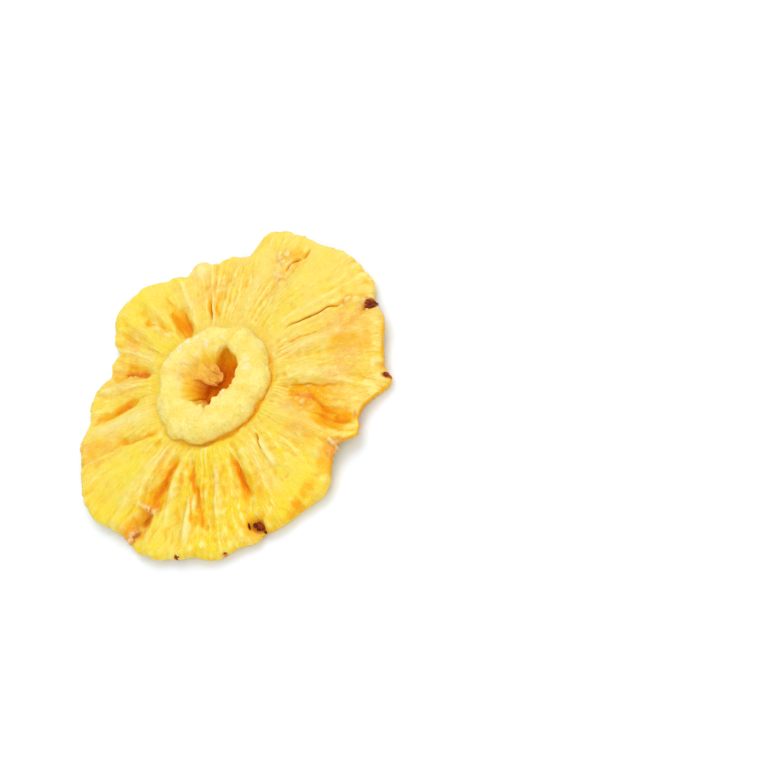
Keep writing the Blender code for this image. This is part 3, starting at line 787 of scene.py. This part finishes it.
def flesh_finish(name, see_through):
    """Yellow to peach, amber where thick with sugar and as painted shade where deep, brown at the eyes, with
    fine fibres.
    """
    material, tree, shader = new_finish(name)
    cells, crumbs, patches = grain_of(tree, 1.6, 5.0)
    sizes = {"Fibres in a turn": 240.0, "Fibre mm": 4.0}
    fibres, hairs = put(tree, "ShaderNodeGroup", sizes, node_tree=FIBRES).outputs
    cavity_shading, brown, calm = mask_of(tree, "cavity_shading"), mask_of(tree, "brown"), mask_of(tree, "calm")
    busy = reckon(tree, "MULTIPLY_ADD", calm, -0.7, 1.0)
    blotted = between(tree, grain_of(tree, 0.8, 2.2)["Patches"], 0.34, 0.66, 0.35, 1.0)
    specks = reckon(tree, "MULTIPLY", mask_of(tree, "blush"), between(tree, crumbs, 0.34, 0.64, 0.35, 1.0))
    amber_share = weighed(
        tree,
        (mask_of(tree, "amber"), 1.0),
        (between(tree, patches, 0.3, 0.7, -0.10, 0.10), 1.0),
        (between(tree, crumbs, 0.35, 0.65, 0.10, -0.10), 1.0),
    )
    lemon = weighed(tree, (mask_of(tree, "yellow"), 1.0), (between(tree, patches, 0.3, 0.7, -0.3, 0.3), 1.0))
    colour = coats(
        tree,
        (254, 220, 112),
        (lemon, (253, 222, 40)),
        (reckon(tree, "MULTIPLY", busy, between(tree, crumbs, 0.50, 0.66, 0.0, 0.6)), (251, 194, 80)),
        (reckon(tree, "MULTIPLY", busy, between(tree, fibres, 0.52, 0.66, 0.0, 0.5)), (255, 242, 150)),
        (reckon(tree, "MULTIPLY", busy, between(tree, hairs, 0.54, 0.66, 0.0, 0.55)), (248, 184, 30)),
        (reckon(tree, "MULTIPLY", calm, 0.35), (255, 232, 96)),
        # Painted shade in hollows, golden; painted highlight on crests, pale.
        (cavity_shading, 0.55, 0.95, 0.75, (249, 188, 20)),
        (cavity_shading, 0.45, 0.10, 0.7, (255, 240, 148)),
        # Painted highlight on ridges, and pale bumps.
        (reckon(tree, "MULTIPLY", mask_of(tree, "pale"), 0.8), (255, 232, 168)),
        (reckon(tree, "MULTIPLY", specks, blotted), (243, 168, 84)),
        # Amber: the fruit's own, and painted shade where the flesh lies deep.
        (amber_share, 0.06, 0.55, 1.0, (252, 186, 12)),
        (amber_share, 0.45, 1.05, 1.0, (247, 150, 0)),
        (cells, 0.78, 0.92, 0.4, (255, 244, 176)),
        (reckon(tree, "MULTIPLY", mask_of(tree, "crumbs"), 0.9), (255, 216, 162)),
        # Brown at the eyes, and painted shade in the slits.
        (brown, 0.10, 0.60, 1.0, (206, 100, 0)),
        (brown, 0.55, 1.0, 1.0, (112, 34, 2)),
    )
    looks = {
        "Base Color": colour,
        "Roughness": between(tree, amber_share, 0.0, 0.8, 0.52, 0.36),
        "Normal": bumped(tree, weighed(tree, (fibres, 1.2), (hairs, 1.0), (crumbs, 1.2), (cells, 0.6)), 0.2),
        "Subsurface Weight": see_through,
        "Subsurface Radius": (1.0, 0.5, 0.1),
        "Subsurface Scale": 1.8 * MM,
        "Specular IOR Level": 0.22,
        "IOR": 1.42,
    }
    fill(shader, looks)
    return material


flesh.data.materials.append(flesh_finish("dried_flesh_finish", 0.45))
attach(flesh, "root")
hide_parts("pineapple_ring")


# Shreds of core that the cutter tore and left in the hole: a broad tongue that hangs off the far wall over a
# pocket, with a thicker ragged edge, and a web across the hole's foot. They are dried core too, with the
# hole's painted shade by how low they hang, the web in its deep orange.
# Each shred is (points of its middle about the core's axis, half widths, thickness).
SHREDS = (
    (((1.2, 8.4, 6.6), (1.3, 6.0, 6.2), (1.7, 2.8, 5.2), (1.8, 0.4, 3.0)), (4.0, 1.2), 0.40),
    (((-2.6, 7.8, 6.4), (-1.8, 5.6, 6.3), (-0.5, 2.6, 5.3), (0.8, 0.2, 3.3)), (0.9, 0.4), 0.50),
    (((4.6, 7.8, 6.4), (3.4, 5.8, 6.1), (2.3, 3.6, 5.3), (2.9, 1.4, 4.0)), (0.9, 0.5), 0.45),
)
TONGUE_FACES = (0.0, -0.45, 1.0)
# How far below the band's top, in millimetres, the painted hole shade on the shreds sets in.
SHRED_SHADE_BELOW_TOP = 0.4
FOOT_WEB = ((-3.6, 0.2, 0.9), (-1.2, 1.8, 1.4), (2.4, 1.5, 1.4), (5.2, -1.6, 1.0))
FOOT_WEB_HALVES, FOOT_WEB_FACES = (1.35, 1.35), (0.0, 0.0, 1.0)
# The web's thickness, and how deep the painted hole shade on it is, from 0 to 1.
FOOT_WEB_THICK, FOOT_WEB_SHADE = 0.5, 0.9
SHRED_STATIONS, SHRED_SIDES, SHRED_ENDS = 60, 48, 0.10
# Heights of the noise on a shred, then its sizes along the shred and across it.
SHRED_RAGGED, SHRED_CRUMPLE, SHRED_FIBRE = 0.38, 0.40, 0.22
RAGGED_LONG, CRUMPLE_LONG, CRUMPLE_WIDE, FIBRE_LONG, FIBRE_WIDE = 0.6, 1.1, 0.8, 2.5, 0.22


def bend(points, share):
    """A point on the smooth curve that a row of points pulls along."""
    rows = [np.array(point, dtype=float)[None, :] for point in points]
    while len(rows) > 1:
        rows = [first + (second - first) * share for first, second in zip(rows, rows[1:])]
    return rows[0]


def torn_strip(seed, points, half_widths, thickness, faces_to):
    """A strip's grid, its stations by its sides: thin, ragged along both edges and drawn in at its ends."""
    along = np.linspace(0, 1, SHRED_STATIONS)[:, None]
    middle = bend(points, along)
    way = np.gradient(middle, axis=0)
    way = way / np.linalg.norm(way, axis=1, keepdims=True)
    side = np.cross(way, np.array(faces_to))
    side = side / np.linalg.norm(side, axis=1, keepdims=True)
    front = np.cross(side, way)
    turn = np.linspace(0, 2 * np.pi, SHRED_SIDES, endpoint=False)[None, :]
    across, deep = np.cos(turn), np.sin(turn)
    length = np.linalg.norm(middle[-1] - middle[0])
    width = half_widths[0] + (half_widths[1] - half_widths[0]) * along
    run, breadth = along * length, across * width
    ragged = ripple(seed, run / RAGGED_LONG, across * 0.6 + 9)
    drawn_in = np.sqrt(np.clip(np.minimum(along, 1 - along) / SHRED_ENDS, 0.05, 1.0))
    crumple = SHRED_CRUMPLE * ripple(seed + 1, run / CRUMPLE_LONG, breadth / CRUMPLE_WIDE + 5)
    crumple += SHRED_FIBRE * ripple(seed + 50, run / FIBRE_LONG, breadth / FIBRE_WIDE + 40)
    reach = across * (width * drawn_in + SHRED_RAGGED * ragged)
    lift = deep * thickness / 2 * (1.25 - np.abs(across)) * drawn_in + crumple
    grid = middle[:, None, :] + side[:, None, :] * reach[..., None] + front[:, None, :] * lift[..., None]
    return grid, np.broadcast_to(np.abs(across) ** 3 * smooth(-0.4, 0.4, ragged), grid.shape[:2])


def joined_strips(name, strips, masks):
    """One mesh of several strips, each closed round its sides and capped at both ends."""
    points, faces = [], []
    for grid in strips:
        number = np.arange(grid.shape[0] * grid.shape[1]).reshape(grid.shape[:2])
        number = number + sum(len(part) for part in points)
        beside = np.roll(number, -1, axis=1)
        quads = np.stack((number[:-1], beside[:-1], beside[1:], number[1:]), axis=-1)
        faces += quads.reshape(-1, 4).tolist() + [number[0, ::-1].tolist(), number[-1].tolist()]
        points.append(grid.reshape(-1, 3))
    masks = {mask: np.concatenate([part.ravel() for part in values]) for mask, values in masks.items()}
    return meshed(name, np.concatenate(points), faces, masks)


def about_axis(points):
    """Points that are given about the core's axis."""
    return [np.array(point) + (*CORE_AXIS, 0.0) for point in points]


strips, shade_depths, pale_edges = [], [], []
for number, (path, half_widths, thickness) in enumerate(SHREDS):
    grid, edges = torn_strip(70 + 2 * number, about_axis(path), half_widths, thickness, TONGUE_FACES)
    # Painted shade: the lower a shred hangs, the deeper its orange, and the less its edges pale.
    depth = np.clip((CORE_TOP - SHRED_SHADE_BELOW_TOP - grid[..., 2]) / CORE_TOP, 0, 1)
    strips.append(grid)
    shade_depths.append(depth)
    pale_edges.append(0.35 + 0.6 * edges * (1 - depth))
web, _ = torn_strip(98, about_axis(FOOT_WEB), FOOT_WEB_HALVES, FOOT_WEB_THICK, FOOT_WEB_FACES)
strips.append(web)
shade_depths.append(np.full(web.shape[:2], FOOT_WEB_SHADE))
pale_edges.append(np.zeros(web.shape[:2]))
core_shreds = joined_strips(
    "core_shreds",
    strips,
    {"down_hole": shade_depths, "torn": pale_edges, "bloom": [0.3 * edges for edges in pale_edges]},
)
core_shreds.data.materials.append(core_finish("torn_core_finish", 0.0))
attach(core_shreds, "root")
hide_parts("pineapple_ring")


# Scraps of the rind's eyes that peeling left in their craters: dark brown, crinkled and hard, with a dull
# gloss. Each is (angle, radius, half length, half width, half height, how far it is sunk).
EYE_SCRAPS = (
    (248.0, 36.8, 1.15, 0.85, 0.4, 0.1), (245.9, 36.5, 0.65, 0.42, 0.3, 0.1),
    (248.6, 38.3, 0.6, 0.35, 0.3, 0.1), (244.3, 36.6, 0.8, 0.2, 0.3, 0.2), (246.4, 37.4, 0.3, 0.28, 0.3, 0.1),
    (339.8, 39.6, 1.3, 0.75, 0.7, 0.1), (338.4, 39.9, 0.6, 0.6, 0.5, 0.2), (341.6, 39.0, 0.6, 0.5, 0.4, 0.1),
    (313.0, 41.2, 0.6, 0.45, 0.45, 0.2), (217.6, 40.0, 0.34, 0.34, 0.35, 0.1),
    (218.4, 40.1, 0.2, 0.25, 0.25, 0.1), (234.0, 40.3, 0.18, 0.45, 0.25, 0.2),
)
SCRAP_CRINKLE, SCRAP_CRINKLES_TO_A_MM, SCRAP_FINER = 0.42, 2.6, 2.4


def flesh_at(angle, out):
    """The point of the flesh's top nearest to an angle and radius about the core's axis."""
    turn = int(round(angle / 360 * FLESH_TURNS)) % FLESH_TURNS
    station = int(np.argmin(np.abs(radius[turn, : TOP_SHARES.size] - out)))
    return flesh_grid[turn, station]


ball_maker = bmesh.new()
bmesh.ops.create_icosphere(ball_maker, subdivisions=4, radius=1.0)
ball_maker.verts.index_update()
ball = np.array([vertex.co for vertex in ball_maker.verts])
ball_faces = np.array([[vertex.index for vertex in face.verts] for face in ball_maker.faces])
ball_maker.free()

scrap_points, scrap_faces = [], []
for number, (angle, out, half_length, half_width, half_height, sunk) in enumerate(EYE_SCRAPS):
    grain_at = ball * half_length * SCRAP_CRINKLES_TO_A_MM
    crinkle = ripple(200 + number, *(grain_at + 20).T)
    crinkle = crinkle + 0.5 * ripple(240 + number, *(grain_at * SCRAP_FINER + 20).T)
    crinkled = ball * (1 + SCRAP_CRINKLE * (1 - 2 * np.abs(crinkle)))[:, None]
    turn = math.radians(angle)
    outwards = np.array((math.cos(turn), math.sin(turn), 0))
    sideways = np.array((-math.sin(turn), math.cos(turn), 0))
    placed = flesh_at(angle, out) - np.array((0, 0, sunk))
    placed = placed + crinkled[:, :1] * outwards * half_length + crinkled[:, 1:2] * sideways * half_width
    scrap_points.append(placed + crinkled[:, 2:] * np.array((0, 0, half_height)))
    scrap_faces += (ball_faces + number * len(ball)).tolist()
eye_scraps = meshed("eye_scraps", np.concatenate(scrap_points), scrap_faces, {})


def eye_finish():
    """Dark brown with redder ridges and a crinkled, dully glossy skin."""
    material, tree, shader = new_finish("eye_skin_finish")
    cells, crumbs, patches = grain_of(tree, 2.5, 0.9)
    colour = coats(
        tree,
        (74, 15, 0),
        (patches, 0.38, 0.62, 1.0, (166, 58, 4)),
        (crumbs, 0.58, 0.72, 0.7, (214, 128, 62)),
    )
    looks = {
        "Base Color": colour,
        "Roughness": between(tree, patches, 0.3, 0.7, 0.28, 0.5),
        "Normal": bumped(tree, reckon(tree, "ADD", cells, crumbs), 0.15),
        "Specular IOR Level": 0.25,
    }
    fill(shader, looks)
    return material


eye_scraps.data.materials.append(eye_finish())
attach(eye_scraps, "root")
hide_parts("pineapple_ring")


# Sugar that came out of the fruit as it dried, in small whitish grains: thickest on the far rim of the
# core band and on the torn places. Crumbs of torn flesh cling there too. Each is stuck where it is.
GRAINS_CROWD = 1.6
GRAIN_SCALES = ((0.5, 0.5, 0.4), (1.4, 1.2, 1.0))


def growing_tree(name, takes, gives):
    """An empty tree for what grows or sticks on the fruit, and its two ends."""
    tree = bpy.data.node_groups.new(name, "GeometryNodeTree")
    tree.is_modifier = True
    for socket, kind in takes.items():
        tree.interface.new_socket(socket, in_out="INPUT", socket_type="NodeSocket" + kind)
    tree.interface.new_socket(gives, in_out="OUTPUT", socket_type="NodeSocketGeometry")
    return tree, put(tree, "NodeGroupInput"), put(tree, "NodeGroupOutput")


def named_mask(tree, name):
    """One of the fruit's masks, by its name."""
    reader = put(tree, "GeometryNodeInputNamedAttribute", {"Name": name}, data_type="FLOAT")
    return reader.outputs["Attribute"]


def random_vector(tree, low, high):
    """Another vector for each point, between two."""
    return put(tree, "FunctionNodeRandomValue", {0: low, 1: high}, data_type="FLOAT_VECTOR").outputs[0]


def strewn(tree, inlet, share, to_a_square_metre):
    """Points strewn over the fruit, in a share of so many to a square metre."""
    density = reckon(tree, "MULTIPLY", share, to_a_square_metre)
    scatter = {"Mesh": inlet.outputs["Fruit"], "Density": density, "Seed": inlet.outputs["Seed"]}
    spread = put(tree, "GeometryNodeDistributePointsOnFaces", scatter, distribute_method="RANDOM")
    return spread.outputs["Points"]


def laid_for_good(tree, inlet, outlet, laid):
    """Lays a shape on each point, makes them all plain mesh and gives them their finish."""
    shapes = put(tree, "GeometryNodeInstanceOnPoints", laid).outputs["Instances"]
    real = put(tree, "GeometryNodeRealizeInstances", {"Geometry": shapes}).outputs["Geometry"]
    done = {"Geometry": real, "Material": inlet.outputs["Finish"]}
    fill(outlet, {0: put(tree, "GeometryNodeSetMaterial", done).outputs["Geometry"]})


def stuck_grains():
    """Scatters grains over a surface, most of them where one of its masks is strong."""
    takes = {
        "Fruit": "Geometry", "Thick Where": "String", "Grain Size": "Float",
        "Grains to a Square Metre": "Float", "Seed": "Int", "Finish": "Material",
    }
    tree, inlet, outlet = growing_tree("stuck_grains", takes, "Grains")
    strong = reckon(tree, "POWER", named_mask(tree, inlet.outputs["Thick Where"]), GRAINS_CROWD)
    size = {"Radius": inlet.outputs["Grain Size"], "Subdivisions": 1}
    laid = {
        "Points": strewn(tree, inlet, strong, inlet.outputs["Grains to a Square Metre"]),
        "Instance": put(tree, "GeometryNodeMeshIcoSphere", size).outputs["Mesh"],
        "Rotation": random_vector(tree, (0, 0, 0), (math.tau,) * 3),
        "Scale": random_vector(tree, *GRAIN_SCALES),
    }
    laid_for_good(tree, inlet, outlet, laid)
    return tree


def grown_on(name, host, tree, sizes):
    """A plain mesh of what a tree grows on a copy of the host. The tree's inputs are set by name."""
    grown = bpy.data.objects.new(name, host.data.copy())
    bpy.context.scene.collection.objects.link(grown)
    growth = grown.modifiers.new("growth", "NODES")
    growth.node_group = tree
    for socket in tree.interface.items_tree:
        if socket.in_out == "INPUT" and socket.name in sizes:
            growth[socket.identifier] = sizes[socket.name]
    evaluated = grown.evaluated_get(bpy.context.evaluated_depsgraph_get())
    mesh = bpy.data.meshes.new_from_object(evaluated)
    grown.modifiers.remove(growth)
    grown.data = mesh
    mesh.name = name
    return grown


def sugar_finish():
    """Whitish, waxy and slightly see-through."""
    material, tree, shader = new_finish("sugar_grain_finish")
    patches = grain_of(tree, 1.0, 1.5)["Patches"]
    looks = {
        "Base Color": coats(tree, (255, 244, 205), (patches, 0.35, 0.65, 1.0, (252, 226, 150))),
        "Roughness": 0.35,
        "Subsurface Weight": 0.3,
        "Subsurface Radius": (1.0, 0.8, 0.4),
        "Subsurface Scale": 0.3 * MM,
    }
    fill(shader, looks)
    return material


GRAIN_TREE, SUGAR_FINISH = stuck_grains(), sugar_finish()
TORN_CORE, TORN_FLESH = core_shreds.data.materials[0], flesh_finish("torn_flesh_finish", 0.0)
# Each is (name, what it sticks to, mask, size, how many to a square metre, seed, finish, slot).
STUCK = (
    ("sugar_on_core", core_band, "bloom", 0.13, 3.0e6, 7, SUGAR_FINISH, "sugar_grain"),
    ("sugar_on_flesh", flesh, "bloom", 0.10, 0.8e6, 8, SUGAR_FINISH, "sugar_grain"),
    ("torn_crumbs", flesh, "crumbs", 0.26, 9.0e6, 9, TORN_FLESH, "dried_flesh"),
    ("core_crumbs", core_band, "torn", 0.20, 2.0e6, 10, TORN_CORE, "core_band"),
)
for name, host, mask, grain_size, to_a_square_metre, seed, finish, slot in STUCK:
    grain_sizes = {
        "Thick Where": mask, "Grain Size": grain_size * MM, "Grains to a Square Metre": to_a_square_metre,
        "Seed": seed, "Finish": finish,
    }
    grains = grown_on(name, host, GRAIN_TREE, grain_sizes)
    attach(grains, "root")
    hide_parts("pineapple_ring")


# Ends of single fibres that came loose when the fruit was sliced. They dried on to the flesh where they lay,
# pointing out from the core, pale and thinner than a bristle.
FIBRE_LENGTH, FIBRE_THICKNESS, FIBRES_TO_A_SQUARE_METRE, FIBRE_SEED = 2.4, 0.055, 3.5e5, 11
FIBRES_ASTRAY = ((-0.22, -0.22, -0.02), (0.22, 0.22, 0.08))
FIBRE_SCALES = ((0.6, 0.6, 0.4), (1.3, 1.3, 1.5))


def loose_fibres():
    """Scatters thin three-sided fibres over a surface, each pointing away from an axis and a little up."""
    takes = {
        "Fruit": "Geometry", "Core Axis": "Vector", "Fibre Length": "Float", "Fibre Thickness": "Float",
        "Fibres to a Square Metre": "Float", "Seed": "Int", "Finish": "Material",
    }
    tree, inlet, outlet = growing_tree("loose_fibres", takes, "Fibres")
    place = put(tree, "GeometryNodeInputPosition").outputs[0]
    away = vector(tree, "SUBTRACT", {0: place, 1: inlet.outputs["Core Axis"]})
    level = vector(tree, "MULTIPLY", {0: away, 1: (1.0, 1.0, 0.0)})
    astray = random_vector(tree, *FIBRES_ASTRAY)
    heading = vector(tree, "ADD", {0: vector(tree, "NORMALIZE", {0: level}), 1: astray})
    shape = {
        "Vertices": 3, "Radius Top": 0.0, "Radius Bottom": inlet.outputs["Fibre Thickness"],
        "Depth": inlet.outputs["Fibre Length"],
    }
    laid = {
        "Points": strewn(tree, inlet, named_mask(tree, "hairy"), inlet.outputs["Fibres to a Square Metre"]),
        "Instance": put(tree, "GeometryNodeMeshCone", shape).outputs["Mesh"],
        "Rotation": put(tree, "FunctionNodeAlignRotationToVector", {"Vector": heading}, axis="Z").outputs[0],
        "Scale": random_vector(tree, *FIBRE_SCALES),
    }
    laid_for_good(tree, inlet, outlet, laid)
    return tree


fibre_sizes = {
    "Core Axis": (CORE_AXIS[0] * MM, CORE_AXIS[1] * MM, 0.0), "Fibre Length": FIBRE_LENGTH * MM,
    "Fibre Thickness": FIBRE_THICKNESS * MM, "Fibres to a Square Metre": FIBRES_TO_A_SQUARE_METRE,
    "Seed": FIBRE_SEED, "Finish": TORN_FLESH,
}
flesh_fibres = grown_on("flesh_fibres", flesh, loose_fibres(), fibre_sizes)
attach(flesh_fibres, "root")
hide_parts("pineapple_ring")


# The table is a wide sheet of white board. A large soft lamp stands beyond the ring and a weaker one on the
# camera's side, with white all round.
TABLE_SIZE, TABLE_WHITE, TABLE_ROUGHNESS = 4.0, paint(243, 248, 255), 0.8
# Each lamp is (name, size in metres, power, turn and lift of the way to it), and LAMPS_AWAY metres away.
LAMPS = (("soft_lamp", 0.7, 3.55, 52, 60), ("fill_lamp", 1.0, 2.9, 262, 45))
LAMPS_AWAY = 0.9
ROOM_WHITE, ROOM_STRENGTH = (0.95, 0.98, 1.0, 1.0), 0.70

bpy.ops.mesh.primitive_plane_add(size=TABLE_SIZE)
table = bpy.context.object
table.name = "table"
table_finish, _, table_shader = new_finish("table_finish")
fill(table_shader, {"Base Color": TABLE_WHITE, "Roughness": TABLE_ROUGHNESS})
table.data.materials.append(table_finish)

for name, size, power, turn, lift in LAMPS:
    lamp_light = bpy.data.lights.new(name, "AREA")
    lamp_light.size = size
    lamp_light.energy = power
    lamp = bpy.data.objects.new(name, lamp_light)
    bpy.context.scene.collection.objects.link(lamp)
    lift, turn = math.radians(lift), math.radians(turn)
    towards_lamp = Vector((math.cos(lift) * math.cos(turn), math.cos(lift) * math.sin(turn), math.sin(lift)))
    lamp.location = towards_lamp * LAMPS_AWAY
    lamp.rotation_euler = towards_lamp.to_track_quat("Z", "Y").to_euler()

room = bpy.data.worlds.new("white_room")
room.use_nodes = True
fill(room.node_tree.nodes["Background"], {"Color": ROOM_WHITE, "Strength": ROOM_STRENGTH})
bpy.context.scene.world = room
bpy.context.scene.view_settings.view_transform = "Standard"

# The camera looks down from the -Y side, rolled half a quarter turn, and panned so that the ring sits left
# of the middle. These are picture sizes for a frame 768 across.
FRAME = 768
AIM_PIXEL = (214.5, 387.0)
AIM_HEIGHT = 4.0
MM_TO_A_PIXEL = 80 / 360
CAMERA_AWAY = 600.0
CAMERA_LIFT = math.radians(52)
SENSOR = 36.0

lens_in_pixels = CAMERA_AWAY / MM_TO_A_PIXEL
ahead = Vector((0.0, math.cos(CAMERA_LIFT), -math.sin(CAMERA_LIFT)))
level_right = Vector((1.0, 0.0, 0.0))
level_up = level_right.cross(ahead)
picture_right = (level_right - level_up).normalized()
picture_up = (level_right + level_up).normalized()
unpanned = Matrix((picture_right, picture_up, -ahead)).transposed()
aim = Vector((AIM_PIXEL[0] - FRAME / 2, FRAME / 2 - AIM_PIXEL[1], -lens_in_pixels))
pan = aim.rotation_difference(Vector((0.0, 0.0, -1.0))).to_matrix()
aimed_at = Vector((CORE_AXIS[0], CORE_AXIS[1], AIM_HEIGHT))
view = bpy.data.cameras.new("view")
view.sensor_width = SENSOR
view.lens = lens_in_pixels * SENSOR / FRAME
camera = bpy.data.objects.new("view", view)
bpy.context.scene.collection.objects.link(camera)
camera.matrix_world = Matrix.Translation((aimed_at - ahead * CAMERA_AWAY) * MM) @ (unpanned @ pan).to_4x4()
bpy.context.scene.camera = camera
